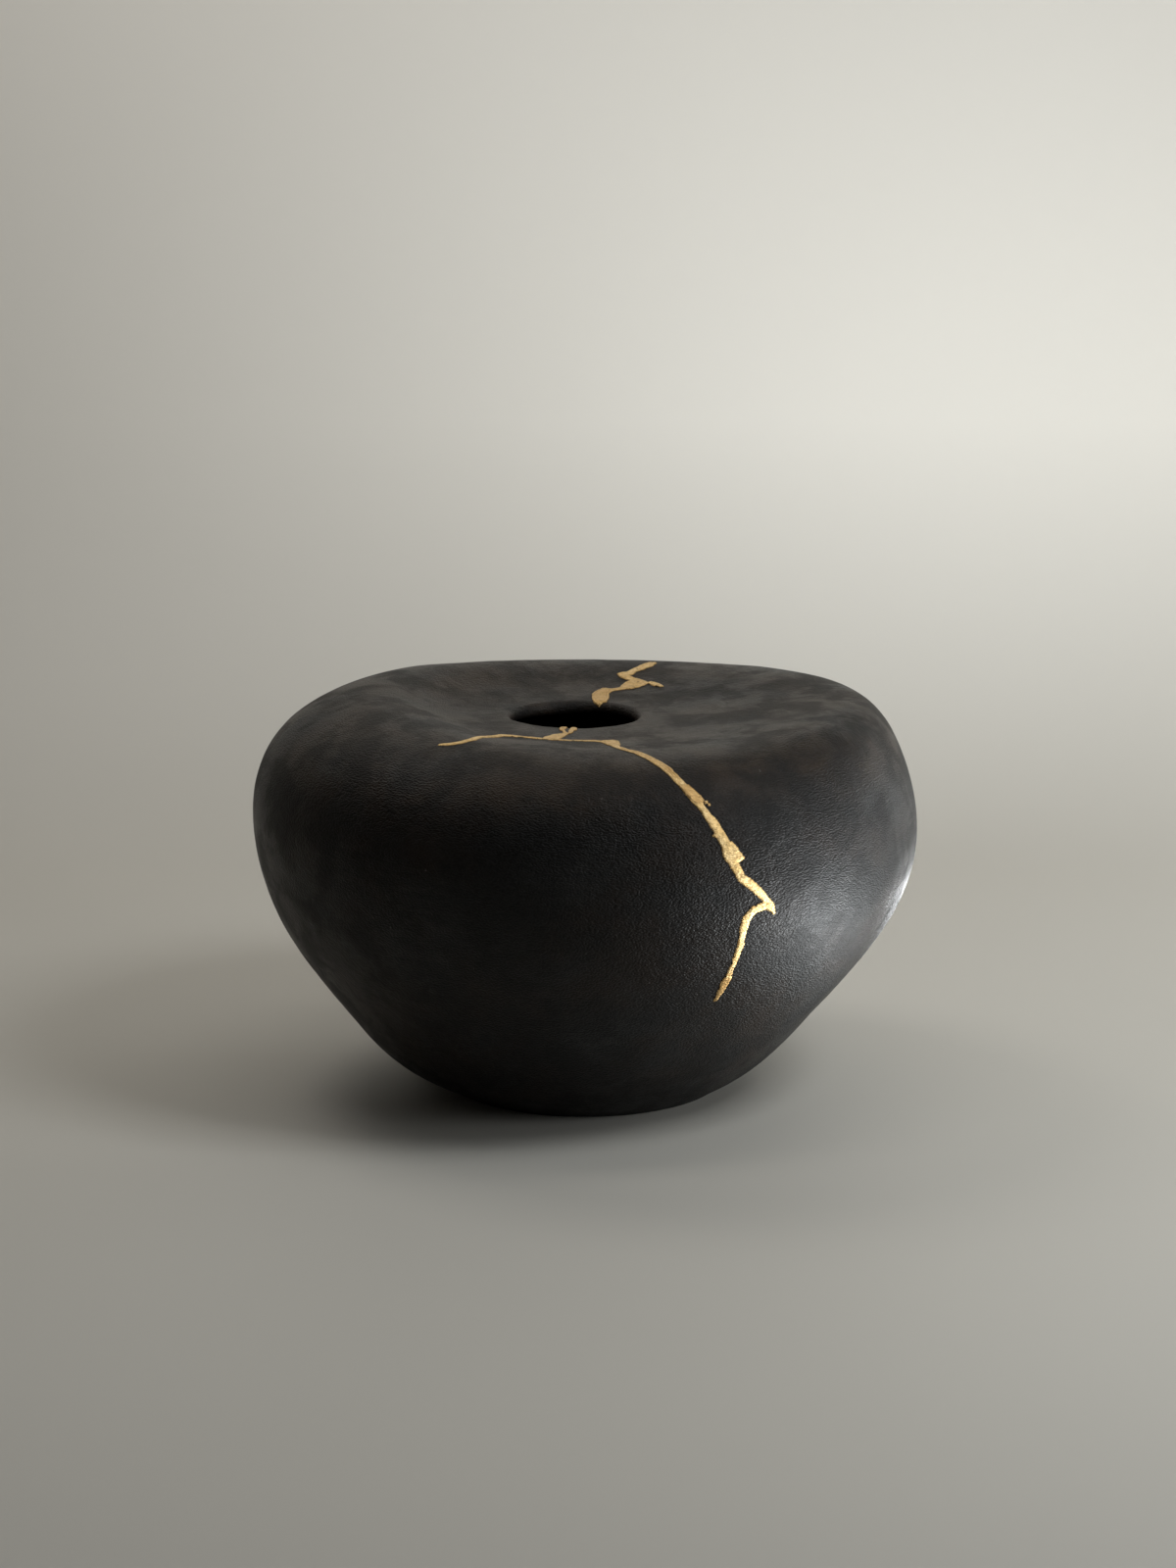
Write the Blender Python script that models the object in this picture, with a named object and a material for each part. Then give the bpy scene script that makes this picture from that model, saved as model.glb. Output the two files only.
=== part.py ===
"""Kintsugi vase: a squat black stoneware vessel with two cracks filled with gold.

The vessel is one hollow shell, open at a small mouth in its dished top. Each gold seam is a
solid of its own, let into a groove in the shell and standing a little proud of it. Metres,
+Z up, the front towards -Y, the origin in the middle of the underside.
"""

import math

import bmesh
import bpy
import numpy as np

# The shell's thickness, and the clearance between a seam and its groove
WALL = 0.0070
FLOOR = 0.0090
GAP = 0.0003

# The round mouth, which sits a little to the left of the middle and behind it
MOUTH_RADIUS = 0.0260
MOUTH_SHIFT = (-0.0045, 0.0020)
LIP_RADIUS = WALL / 2

# Half of the widest width and depth, and the radius of the flat underside
HALF_WIDTH = 0.1400
HALF_DEPTH = 0.1350
FOOT_RADIUS = 0.0580

# Rings of the outer wall from mouth to foot: the radius on the right, at the back, on the
# left and at the front, then the height at the same four sides. The form is pressed by hand,
# so its sides differ by a few millimetres.
LIP_EDGE = MOUTH_RADIUS + LIP_RADIUS
RINGS = {
    "lip": (
        (
            LIP_EDGE + MOUTH_SHIFT[0],
            LIP_EDGE + MOUTH_SHIFT[1],
            LIP_EDGE - MOUTH_SHIFT[0],
            LIP_EDGE - MOUTH_SHIFT[1],
        ),
        (0.1580, 0.1585, 0.1585, 0.1580),
    ),
    "dish": ((0.0550, 0.0595, 0.0610, 0.0565), (0.1600, 0.1610, 0.1620, 0.1585)),
    "crown": ((0.0950, 0.0895, 0.0890, 0.0930), (0.1650, 0.1655, 0.1690, 0.1605)),
    "shoulder": ((0.1215, 0.1210, 0.1235, 0.1200), (0.1615, 0.1555, 0.1560, 0.1520)),
    "belly": ((HALF_WIDTH, HALF_DEPTH, HALF_WIDTH, HALF_DEPTH), (0.1160,) * 4),
    "flank": ((0.1300, 0.1270, 0.1300, 0.1270), (0.0760,) * 4),
    "low": ((0.0995, 0.0985, 0.1035, 0.0985), (0.0360,) * 4),
    "heel": ((0.0720, 0.0710, 0.0755, 0.0705), (0.0080,) * 4),
    "foot": ((FOOT_RADIUS,) * 4, (0.0,) * 4),
}

# Low mounds and hollows that the maker's hands left: azimuth in degrees, travel from the lip
# over the surface, spread and rise. Azimuth 0 is the right and 90 the back.
MOUNDS = (
    (30, 0.062, 0.024, 0.0010),
    (142, 0.070, 0.022, 0.0009),
    (236, 0.040, 0.013, -0.0010),
    (252, 0.070, 0.020, 0.0008),
    (225, 0.085, 0.018, 0.0009),
    (325, 0.080, 0.024, 0.0010),
    (100, 0.045, 0.018, -0.0007),
)

# Routes of the gold, from the lip outwards: azimuth in degrees, travel from the lip over the
# surface in metres and width in metres. A travel below 0 goes over the lip into the mouth.
STUB = (
    (255, -0.0060, 0.0060),
    (255, 0.0000, 0.0064),
    (256, 0.0050, 0.0060),
    (257, 0.0125, 0.0040),
    (256, 0.0190, 0.0040),
    (256, 0.0265, 0.0040),
    (259, 0.0300, 0.0030),
)
LEFT_BRANCH = (
    (260, 0.0298, 0.0030),
    (255, 0.0304, 0.0030),
    (250, 0.0315, 0.0028),
    (244, 0.0305, 0.0026),
    (240, 0.0292, 0.0028),
    (237, 0.0320, 0.0030),
    (239, 0.0490, 0.0026),
    (239.8, 0.0592, 0.0026),
    (239.2, 0.0657, 0.0024),
    (237.3, 0.0699, 0.0022),
    (235.4, 0.0720, 0.0014),
)
RIGHT_BRANCH = (
    (257, 0.0302, 0.0028),
    (267, 0.0292, 0.0026),
    (273.5, 0.0298, 0.0032),
    (277, 0.0320, 0.0050),
    (279, 0.0395, 0.0052),
    (280.8, 0.0475, 0.0034),
    (282.8, 0.0592, 0.0030),
    (284.3, 0.0690, 0.0034),
    (285.6, 0.0775, 0.0035),
    (286.9, 0.0865, 0.0034),
    (288.1, 0.0940, 0.0040),
    (289, 0.0990, 0.0050),
    (290.1, 0.1040, 0.0044),
    (291.3, 0.1100, 0.0031),
    (292.7, 0.1155, 0.0038),
    (293.9, 0.1215, 0.0040),
    (295, 0.1255, 0.0068),
    (295.5, 0.1290, 0.0078),
    (295.7, 0.1320, 0.0040),
    (296.8, 0.1362, 0.0037),
    (299, 0.1400, 0.0038),
    (301, 0.1445, 0.0034),
    (302.3, 0.1482, 0.0036),
    (303.1, 0.1508, 0.0024),
)
TAIL = (
    (302.6, 0.1497, 0.0026),
    (301, 0.1480, 0.0032),
    (299, 0.1496, 0.0034),
    (297.8, 0.1528, 0.0036),
    (297.4, 0.1570, 0.0031),
    (297.3, 0.1640, 0.0028),
    (296.9, 0.1710, 0.0025),
    (296.5, 0.1790, 0.0026),
    (296, 0.1845, 0.0030),
    (295.4, 0.1925, 0.0014),
)
REAR_STEM = (
    (78.5, -0.0036, 0.0028),
    (78.5, -0.0015, 0.0052),
    (79, 0.0030, 0.0068),
    (80.3, 0.0085, 0.0080),
    (81, 0.0140, 0.0078),
    (79.2, 0.0185, 0.0058),
    (76, 0.0208, 0.0044),
    (73, 0.0232, 0.0042),
    (70.5, 0.0278, 0.0094),
    (67, 0.0315, 0.0096),
    (64, 0.0326, 0.0070),
    (62, 0.0326, 0.0044),
    (59, 0.0316, 0.0034),
    (55.8, 0.0308, 0.0018),
)
REAR_LEAN = (
    (68, 0.0290, 0.0080),
    (70.5, 0.0332, 0.0080),
    (73.5, 0.0368, 0.0054),
    (77, 0.0405, 0.0042),
    (78.5, 0.0422, 0.0028),
)
REAR_TAIL = (
    (78.3, 0.0408, 0.0030),
    (76.5, 0.0427, 0.0040),
    (74, 0.0470, 0.0040),
    (72, 0.0528, 0.0044),
    (70.6, 0.0586, 0.0044),
    (69.8, 0.0634, 0.0022),
)

# The gold's section: how deep it goes, and how far its edges and its middle stand proud
SEAM_DEPTH = 0.0020
SEAM_EDGE = 0.0002
SEAM_CROWN = 0.0006
SEAM_STEP = 0.0025
CUTTER_TOP = 0.0030

# Facets of the shell
SEGMENTS = 56
OUTER_RINGS = 27
LIP_STEPS = 8
INNER_RINGS = 15
FLOOR_RINGS = 2

# The inner wall follows the outer one down to this travel, and the floor closes it
INNER_END = 0.2640
SMALL_STEP = 0.0002
SHARP_EDGE = math.radians(28)


def natural_spline(knots, values):
    """Return the smooth function through the values at the knots, straight at both ends."""
    step = np.diff(knots)
    slope = np.diff(values, axis=0) / step[:, None]
    system = np.eye(len(knots))
    load = np.zeros(values.shape)
    for k in range(1, len(knots) - 1):
        system[k, k - 1 : k + 2] = step[k - 1], 2 * (step[k - 1] + step[k]), step[k]
        load[k] = 6 * (slope[k] - slope[k - 1])
    bend = np.linalg.solve(system, load)

    def value_at(place):
        k = np.clip(np.searchsorted(knots, place) - 1, 0, len(step) - 1)
        width = step[k][..., None]
        after = (place - knots[k])[..., None] / width
        before = 1 - after
        straight = before * values[k] + after * values[k + 1]
        curved = (before**3 - before) * bend[k] + (after**3 - after) * bend[k + 1]
        return straight + curved * width**2 / 6

    return value_at


def wall_profile():
    """Return the four sides as one spline, and the travel at which the foot is reached."""
    sides = np.array([radii + heights for radii, heights in RINGS.values()])
    mean = np.stack([sides[:, :4].mean(axis=1), sides[:, 4:].mean(axis=1)], axis=1)
    chords = np.linalg.norm(np.diff(mean, axis=0), axis=1)
    knots = np.concatenate([[0.0], np.cumsum(chords)])
    return natural_spline(knots, sides), knots[-1]


PROFILE, FOOT_TRAVEL = wall_profile()


def plain_skin(azimuth, travel):
    """Return points of the outer wall before the mounds, with the azimuth in radians."""
    sides = PROFILE(travel)
    across = np.cos(azimuth) / 2
    deep = np.sin(azimuth) / 2
    oval = np.cos(2 * azimuth) / 4
    share = (0.25 + across + oval, 0.25 + deep - oval, 0.25 - across + oval, 0.25 - deep - oval)
    radius = sum(part * sides[..., k] for k, part in enumerate(share))
    height = sum(part * sides[..., k + 4] for k, part in enumerate(share))
    return np.stack([radius * np.cos(azimuth), radius * np.sin(azimuth), height], axis=-1)


def unit(vectors):
    return vectors / np.linalg.norm(vectors, axis=-1, keepdims=True)


def directions(surface, azimuth, travel):
    """Return the outward normal and the direction of travel on a surface."""
    down = surface(azimuth, travel + SMALL_STEP) - surface(azimuth, travel - SMALL_STEP)
    turn = SMALL_STEP / HALF_WIDTH
    around = surface(azimuth + turn, travel) - surface(azimuth - turn, travel)
    return unit(np.cross(down, around)), unit(down)


def skin(azimuth, travel):
    """Return points of the outer wall, with its mounds and hollows."""
    points = plain_skin(azimuth, travel)
    normal, _ = directions(plain_skin, azimuth, travel)
    rise = 0.0
    for angle, distance, spread, height in MOUNDS:
        centre = plain_skin(np.radians(angle), np.asarray(distance))
        away = np.linalg.norm(points - centre, axis=-1)
        rise = rise + height * np.exp(-((away / spread) ** 2))
    return points + normal * np.expand_dims(rise, -1)


def wall_face(azimuth, travel):
    """Return points and outward normals all over the shell.

    From 0 up the travel runs down the outside. Below 0 it goes round the lip's half circle,
    and then down the inside, one wall's thickness behind the outside.
    """
    azimuth, travel = np.broadcast_arrays(azimuth, travel)
    half_turn = math.pi * LIP_RADIUS
    outside = np.maximum(travel, 0.0) + np.maximum(-travel - half_turn, 0.0)
    points = skin(azimuth, outside)
    normal, down = directions(skin, azimuth, outside)
    turned = np.clip(-travel, 0.0, half_turn)[..., None] / LIP_RADIUS
    facing = normal * np.cos(turned) - down * np.sin(turned)
    return points - (normal - facing) * LIP_RADIUS, facing


def ring_travels():
    """Return the travel of each ring of the shell, from deep inside over the lip to the foot."""
    half_turn = math.pi * LIP_RADIUS
    inside = np.linspace(INNER_END, 0.0, INNER_RINGS)
    lip = np.linspace(half_turn, 0.0, LIP_STEPS + 1)[1:-1]
    outside = np.linspace(0.0, FOOT_TRAVEL, OUTER_RINGS)
    return np.concatenate([-half_turn - inside, -lip, outside])


def extruded_ring(shape, edges, places):
    """Extrude a loop of edges and put the new loop's vertices at their places."""
    made = bmesh.ops.extrude_edge_only(shape, edges=edges)["geom"]
    corners = {item for item in made if isinstance(item, bmesh.types.BMVert)}
    for corner in corners:
        azimuth = math.atan2(corner.co.y, corner.co.x) % math.tau
        corner.co = places[round(azimuth / math.tau * SEGMENTS) % SEGMENTS]
    return [
        item
        for item in made
        if isinstance(item, bmesh.types.BMEdge) and all(end in corners for end in item.verts)
    ]


def finished_object(name, shape):
    """Make an object of a bmesh, with its faces pointing out and smooth but at sharp edges."""
    bmesh.ops.recalc_face_normals(shape, faces=shape.faces)
    mesh = bpy.data.meshes.new(name)
    shape.to_mesh(mesh)
    shape.free()
    mesh.shade_smooth()
    mesh.set_sharp_from_angle(angle=SHARP_EDGE)
    made = bpy.data.objects.new(name, mesh)
    bpy.context.scene.collection.objects.link(made)
    return made


def make_shell():
    """Make the hollow vessel, raised ring by ring from its inner floor to its foot."""
    azimuths = np.arange(SEGMENTS) * math.tau / SEGMENTS
    travels = ring_travels()
    rings = wall_face(azimuths[None, :], travels[:, None])[0]
    floor_edge = rings[0]
    shape = bmesh.new()
    first = bmesh.ops.create_circle(shape, segments=SEGMENTS, radius=HALF_WIDTH)["verts"]
    for corner, place in zip(first, floor_edge):
        corner.co = place
    loop = list(shape.edges)
    floor_loop = loop
    for ring in rings[1:]:
        loop = extruded_ring(shape, loop, ring)
    bmesh.ops.contextual_create(shape, geom=loop)
    for k in range(FLOOR_RINGS):
        share = (k + 1) / (FLOOR_RINGS + 1)
        eased = 1 - (1 - share) ** 3
        ring = floor_edge * (1 - share)
        ring[:, 2] = floor_edge[:, 2] * (1 - eased) + FLOOR * eased
        floor_loop = extruded_ring(shape, floor_loop, ring)
    bmesh.ops.contextual_create(shape, geom=floor_loop)
    return finished_object("vase_body", shape)


def route_sections(route):
    """Return centres, sideways directions, normals and widths at even steps along a route."""
    stops = np.array(route)
    bare = wall_face(np.radians(stops[:, 0]), stops[:, 1])[0]
    reach = np.concatenate([[0.0], np.cumsum(np.linalg.norm(np.diff(bare, axis=0), axis=1))])
    steps = max(2, round(reach[-1] / SEAM_STEP))
    even = np.linspace(0.0, reach[-1], steps + 1)
    azimuth, travel, width = (np.interp(even, reach, column) for column in stops.T)
    centre, normal = wall_face(np.radians(azimuth), travel)
    ahead = unit(np.gradient(centre, axis=0))
    return centre, unit(np.cross(normal, ahead)), normal, width


def swept_strip(name, route, section, spare=0.0):
    """Sweep a section along a route on the shell.

    The section lists its corners as a share of the half width sideways and a height above
    the surface in metres. The spare widens the strip on both sides and at both ends.
    """
    centre, side, normal, width = route_sections(route)
    start = unit(centre[0] - centre[1]) * spare
    end = unit(centre[-1] - centre[-2]) * spare
    centre[0] += start
    centre[-1] += end
    half = width / 2 + spare
    shape = bmesh.new()
    corners = []
    for middle, across, up, reach in zip(centre, side, normal, half):
        places = [middle + across * reach * share + up * height for share, height in section]
        corners.append([shape.verts.new(place) for place in places])
    shape.faces.new(corners[0])
    for near, far in zip(corners, corners[1:]):
        for k in range(len(section)):
            n = (k + 1) % len(section)
            shape.faces.new((near[k], near[n], far[n], far[k]))
    shape.faces.new(corners[-1])
    return finished_object(name, shape)


SEAM_SECTION = (
    (-1.0, -SEAM_DEPTH),
    (1.0, -SEAM_DEPTH),
    (1.0, SEAM_EDGE),
    (0.0, SEAM_CROWN),
    (-1.0, SEAM_EDGE),
)
CUTTER_SECTION = (
    (-1.0, -SEAM_DEPTH - GAP),
    (1.0, -SEAM_DEPTH - GAP),
    (1.0, CUTTER_TOP),
    (-1.0, CUTTER_TOP),
)


def as_helper(made):
    """Keep an object out of the render and show it as wire."""
    made.hide_render = True
    made.display_type = "WIRE"
    return made


def add_boolean(target, other, operation):
    """Join an object to the target, or cut it from the target."""
    modifier = target.modifiers.new(f"{operation.lower()} {other.name}", "BOOLEAN")
    modifier.operation = operation
    modifier.solver = "EXACT"
    modifier.object = other


def make_seam(name, routes, body):
    """Make one gold seam of its branches, and cut its groove from the body."""
    branches = []
    for k, route in enumerate(routes):
        branch_name = name if k == 0 else f"{name}_branch_{k}"
        branches.append(swept_strip(branch_name, route, SEAM_SECTION))
        cutter = swept_strip(f"{name}_groove_{k}", route, CUTTER_SECTION, GAP)
        add_boolean(body, as_helper(cutter), "DIFFERENCE")
    for branch in branches[1:]:
        add_boolean(branches[0], as_helper(branch), "UNION")
    return branches[0]


def give_material(made, name, colour, roughness, metallic):
    """Give an object a material of its own."""
    material = bpy.data.materials.new(name)
    material.use_nodes = True
    material.diffuse_color = colour
    shader = material.node_tree.nodes["Principled BSDF"]
    shader.inputs["Base Color"].default_value = colour
    shader.inputs["Roughness"].default_value = roughness
    shader.inputs["Metallic"].default_value = metallic
    made.data.materials.append(material)


def clear_scene():
    for made in list(bpy.data.objects):
        bpy.data.objects.remove(made)


def main():
    clear_scene()
    body = make_shell()
    front = make_seam("gold_seam_front", (RIGHT_BRANCH, TAIL, LEFT_BRANCH, STUB), body)
    back = make_seam("gold_seam_back", (REAR_STEM, REAR_LEAN, REAR_TAIL), body)
    give_material(body, "black_stoneware", (0.012, 0.011, 0.010, 1.0), 0.55, 0.0)
    give_material(front, "gold_front", (0.70, 0.47, 0.19, 1.0), 0.35, 1.0)
    give_material(back, "gold_back", (0.70, 0.47, 0.19, 1.0), 0.35, 1.0)


main()
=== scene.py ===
"""The looks of the kintsugi vase: brushed black stoneware, and cracks mended with gold leaf.

The clay is one fine shell, worked out from the same rings and mounds as its solid. Each mended
crack follows its solid's course as runs and overlapping patches of leaf. Metres, +Z up.
"""

import math

import bpy
import numpy as np
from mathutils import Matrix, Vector


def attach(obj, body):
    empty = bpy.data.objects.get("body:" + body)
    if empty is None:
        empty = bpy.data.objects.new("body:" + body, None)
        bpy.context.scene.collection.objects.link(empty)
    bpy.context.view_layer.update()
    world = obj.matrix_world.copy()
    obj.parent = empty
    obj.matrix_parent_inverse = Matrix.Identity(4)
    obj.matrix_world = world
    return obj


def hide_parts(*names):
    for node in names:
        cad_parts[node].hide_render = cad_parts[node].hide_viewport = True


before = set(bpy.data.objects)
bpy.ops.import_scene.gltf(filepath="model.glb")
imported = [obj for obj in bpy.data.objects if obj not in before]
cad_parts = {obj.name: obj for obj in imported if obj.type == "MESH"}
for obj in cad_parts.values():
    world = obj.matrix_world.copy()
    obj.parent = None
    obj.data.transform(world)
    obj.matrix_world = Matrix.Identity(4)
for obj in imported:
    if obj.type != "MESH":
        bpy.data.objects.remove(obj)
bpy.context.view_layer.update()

# The wall of the vase and its mouth, as in the solids
WALL = 0.0070
FLOOR = 0.0090
MOUTH_RADIUS = 0.0260
MOUTH_SHIFT = (-0.0045, 0.0020)
LIP_RADIUS = WALL / 2
HALF_WIDTH = 0.1400
HALF_DEPTH = 0.1350
FOOT_RADIUS = 0.0580
INNER_END = 0.2640
SMALL_STEP = 0.0002

# Rings of the outer wall from mouth to foot: the radius on the right, at the back, on the
# left and at the front, then the height at the same four sides
LIP_EDGE = MOUTH_RADIUS + LIP_RADIUS
RINGS = {
    "lip": (
        (
            LIP_EDGE + MOUTH_SHIFT[0],
            LIP_EDGE + MOUTH_SHIFT[1],
            LIP_EDGE - MOUTH_SHIFT[0],
            LIP_EDGE - MOUTH_SHIFT[1],
        ),
        (0.1580, 0.1585, 0.1585, 0.1580),
    ),
    "dish": ((0.0550, 0.0595, 0.0610, 0.0565), (0.1600, 0.1610, 0.1620, 0.1585)),
    "crown": ((0.0950, 0.0895, 0.0890, 0.0930), (0.1650, 0.1655, 0.1690, 0.1605)),
    "shoulder": ((0.1215, 0.1210, 0.1235, 0.1200), (0.1615, 0.1555, 0.1560, 0.1520)),
    "belly": ((HALF_WIDTH, HALF_DEPTH, HALF_WIDTH, HALF_DEPTH), (0.1160,) * 4),
    "flank": ((0.1300, 0.1270, 0.1300, 0.1270), (0.0760,) * 4),
    "low": ((0.0995, 0.0985, 0.1035, 0.0985), (0.0360,) * 4),
    "heel": ((0.0720, 0.0710, 0.0755, 0.0705), (0.0080,) * 4),
    "foot": ((FOOT_RADIUS,) * 4, (0.0,) * 4),
}

# Low mounds and hollows that the maker's hands left: azimuth in degrees, travel from the lip
# over the surface, spread and rise. Azimuth 0 is the right and 90 the back.
MOUNDS = (
    (30, 0.062, 0.024, 0.0010),
    (142, 0.070, 0.022, 0.0009),
    (236, 0.040, 0.013, -0.0010),
    (252, 0.070, 0.020, 0.0008),
    (225, 0.085, 0.018, 0.0009),
    (325, 0.080, 0.024, 0.0010),
    (100, 0.045, 0.018, -0.0007),
)

# Routes of the gold, from the lip outwards: azimuth in degrees, travel from the lip over the
# surface in metres and width in metres. A travel below 0 goes over the lip into the mouth.
LEFT_BRANCH = (
    (260, 0.0285, 0.0030),
    (252.5, 0.0284, 0.0034),
    (245, 0.0286, 0.0030),
    (239.5, 0.0284, 0.0034),
    (236.4, 0.0312, 0.0036),
    (237, 0.0400, 0.0034),
    (238.8, 0.0498, 0.0030),
    (240, 0.0605, 0.0030),
    (239, 0.0665, 0.0026),
    (237.3, 0.0699, 0.0020),
    (235.4, 0.0720, 0.0010),
)
RIGHT_BRANCH = (
    (257, 0.0290, 0.0024),
    (267, 0.0280, 0.0024),
    (273.5, 0.0284, 0.0026),
    (277.5, 0.0320, 0.0034),
    (279, 0.0400, 0.0036),
    (279.8, 0.0475, 0.0026),
    (280.9, 0.0545, 0.0028),
    (282.8, 0.0610, 0.0032),
    (284.3, 0.0690, 0.0034),
    (285.6, 0.0775, 0.0035),
    (286.9, 0.0865, 0.0032),
    (288.1, 0.0940, 0.0034),
    (289, 0.0990, 0.0038),
    (290.1, 0.1040, 0.0036),
    (290.9, 0.1078, 0.0024),
    (291.7, 0.1115, 0.0032),
    (292.7, 0.1155, 0.0038),
    (293.9, 0.1215, 0.0038),
    (294.7, 0.1255, 0.0042),
    (295.2, 0.1290, 0.0042),
    (295.7, 0.1320, 0.0034),
    (296.8, 0.1362, 0.0034),
    (299, 0.1402, 0.0036),
    (300.9, 0.1445, 0.0030),
    (302.1, 0.1480, 0.0030),
)
TAIL = (
    (302.1, 0.1488, 0.0026),
    (301, 0.1481, 0.0030),
    (299, 0.1496, 0.0032),
    (297.8, 0.1528, 0.0034),
    (297.4, 0.1570, 0.0031),
    (297.3, 0.1640, 0.0027),
    (296.9, 0.1710, 0.0024),
    (296.4, 0.1782, 0.0022),
    (296, 0.1845, 0.0022),
)
REAR_LINK = (
    (77.5, 0.0196, 0.0040),
    (74.5, 0.0216, 0.0032),
    (71.5, 0.0242, 0.0040),
)

# Pieces of leaf laid over the runs. Each has how brown it is, from 0 to 1, and its corners:
# azimuth in degrees and travel in metres.
FRONT_PATCHES = {
    "mouth_left": (
        0.25,
        (
            (249.6, 0.0014),
            (250.6, -0.0050),
            (254.6, -0.0055),
            (255.4, 0.0040),
            (259.4, 0.0105),
            (257.3, 0.0114),
            (254.6, 0.0062),
            (252.5, 0.0054),
        ),
    ),
    "mouth_right": (
        0.25,
        (
            (257.8, -0.0055),
            (262.6, -0.0050),
            (264.0, 0.0035),
            (262.0, 0.0056),
            (262.7, 0.0087),
            (261.6, 0.0120),
            (259.8, 0.0112),
            (258.4, 0.0050),
        ),
    ),
    "stem": (
        0.2,
        (
            (252.9, 0.0158),
            (257.0, 0.0122),
            (258.6, 0.0095),
            (260.8, 0.0112),
            (259.2, 0.0211),
            (258.8, 0.0285),
            (252.6, 0.0285),
            (251.6, 0.0240),
        ),
    ),
    "ripple": (
        0.15,
        (
            (276.9, 0.0290),
            (281.9, 0.0293),
            (283.1, 0.0329),
            (281.4, 0.0425),
            (279.9, 0.0487),
            (278.7, 0.0445),
            (277.3, 0.0410),
            (276.6, 0.0348),
        ),
    ),
    "step": (
        0.2,
        (
            (285.0, 0.0690),
            (286.6, 0.0784),
            (287.7, 0.0846),
            (287.4, 0.0868),
            (286.4, 0.0845),
            (284.9, 0.0756),
        ),
    ),
    "shoulder": (
        0.65,
        (
            (288.0, 0.0948),
            (287.8, 0.0972),
            (288.6, 0.1008),
            (289.4, 0.1042),
            (290.2, 0.1062),
            (291.1, 0.1057),
            (291.4, 0.1043),
            (291.2, 0.1022),
            (290.7, 0.1001),
            (289.5, 0.0956),
        ),
    ),
    "crumb": (0.1, ((291.5, 0.1048), (292.0, 0.1046), (292.1, 0.1057), (291.7, 0.1060))),
    "far_crumb": (0.1, ((292.1, 0.1062), (292.5, 0.1061), (292.5, 0.1070), (292.1, 0.1071))),
    "spur": (0.0, ((291.8, 0.1193), (292.8, 0.1184), (292.8, 0.1204))),
    "flake": (
        0.0,
        (
            (293.6, 0.1240),
            (294.7, 0.1221),
            (295.4, 0.1225),
            (296.2, 0.1243),
            (296.7, 0.1265),
            (297.4, 0.1286),
            (297.2, 0.1292),
            (296.2, 0.1300),
            (295.0, 0.1307),
            (293.9, 0.1290),
            (293.5, 0.1267),
        ),
    ),
    "spike": (
        0.0,
        (
            (295.9, 0.1300),
            (296.3, 0.1306),
            (296.9, 0.1335),
            (296.3, 0.1342),
            (295.4, 0.1323),
        ),
    ),
    "hook": (
        0.0,
        (
            (301.4, 0.1468),
            (302.2, 0.1468),
            (302.9, 0.1476),
            (303.1, 0.1500),
            (303.2, 0.1516),
            (302.8, 0.1520),
            (302.3, 0.1508),
            (301.6, 0.1497),
        ),
    ),
    "tab": (
        0.6,
        (
            (295.4, 0.1807),
            (295.9, 0.1788),
            (297.0, 0.1792),
            (297.1, 0.1808),
            (296.8, 0.1837),
            (296.4, 0.1878),
            (295.9, 0.1904),
            (295.8, 0.1922),
            (295.1, 0.1925),
            (295.2, 0.1901),
            (295.3, 0.1855),
        ),
    ),
}
REAR_PATCHES = {
    "lump": (
        0.35,
        (
            (86.2, 0.0110),
            (84.1, 0.0170),
            (81.9, 0.0214),
            (79.9, 0.0220),
            (77.3, 0.0212),
            (75.8, 0.0176),
            (76.3, 0.0130),
            (73.0, 0.0049),
            (71.6, -0.0008),
            (74.6, -0.0015),
            (76.2, -0.0029),
            (77.4, -0.0041),
            (80.3, -0.0028),
            (83.2, -0.0013),
            (85.6, 0.0056),
        ),
    ),
    "patch": (
        0.2,
        (
            (74.1, 0.0258),
            (73.7, 0.0312),
            (72.3, 0.0345),
            (70.5, 0.0378),
            (68.0, 0.0364),
            (64.7, 0.0343),
            (64.0, 0.0328),
            (64.4, 0.0298),
            (66.0, 0.0259),
            (67.7, 0.0232),
            (71.0, 0.0226),
            (72.5, 0.0205),
        ),
    ),
    "twig": (
        0.0,
        (
            (64.9, 0.0322),
            (64.5, 0.0340),
            (63.7, 0.0353),
            (61.4, 0.0348),
            (57.9, 0.0330),
            (55.5, 0.0312),
            (56.6, 0.0302),
            (59.2, 0.0304),
            (62.7, 0.0322),
        ),
    ),
    "bend": (
        0.1,
        (
            (78.6, 0.0424),
            (77.2, 0.0448),
            (75.4, 0.0452),
            (74.1, 0.0408),
            (71.0, 0.0378),
            (71.6, 0.0340),
            (74.7, 0.0358),
            (77.2, 0.0382),
        ),
    ),
    "reach": (
        0.0,
        (
            (75.9, 0.0449),
            (73.8, 0.0520),
            (71.7, 0.0632),
            (69.6, 0.0628),
            (69.1, 0.0562),
            (70.6, 0.0500),
            (72.4, 0.0460),
            (72.9, 0.0420),
            (74.3, 0.0409),
        ),
    ),
}

# The clay's own unevenness: the size of a swell, its height and the seed of its pattern
SWELLS = ((0.034, 0.00022, 1), (0.013, 0.00010, 2), (0.0055, 0.00004, 3))
TURNING_PITCH = 0.0050
TURNING_RISE = 0.00005
CLAY_INSET = 0.00035

# Above the shoulder, between these two heights, the clay is painted warmer and lighter: partly dust
# settled in its grain, partly painted sheen of the top
TOP_DUST_AND_SHEEN_START = 0.134
TOP_DUST_AND_SHEEN_FULL = 0.156

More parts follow.
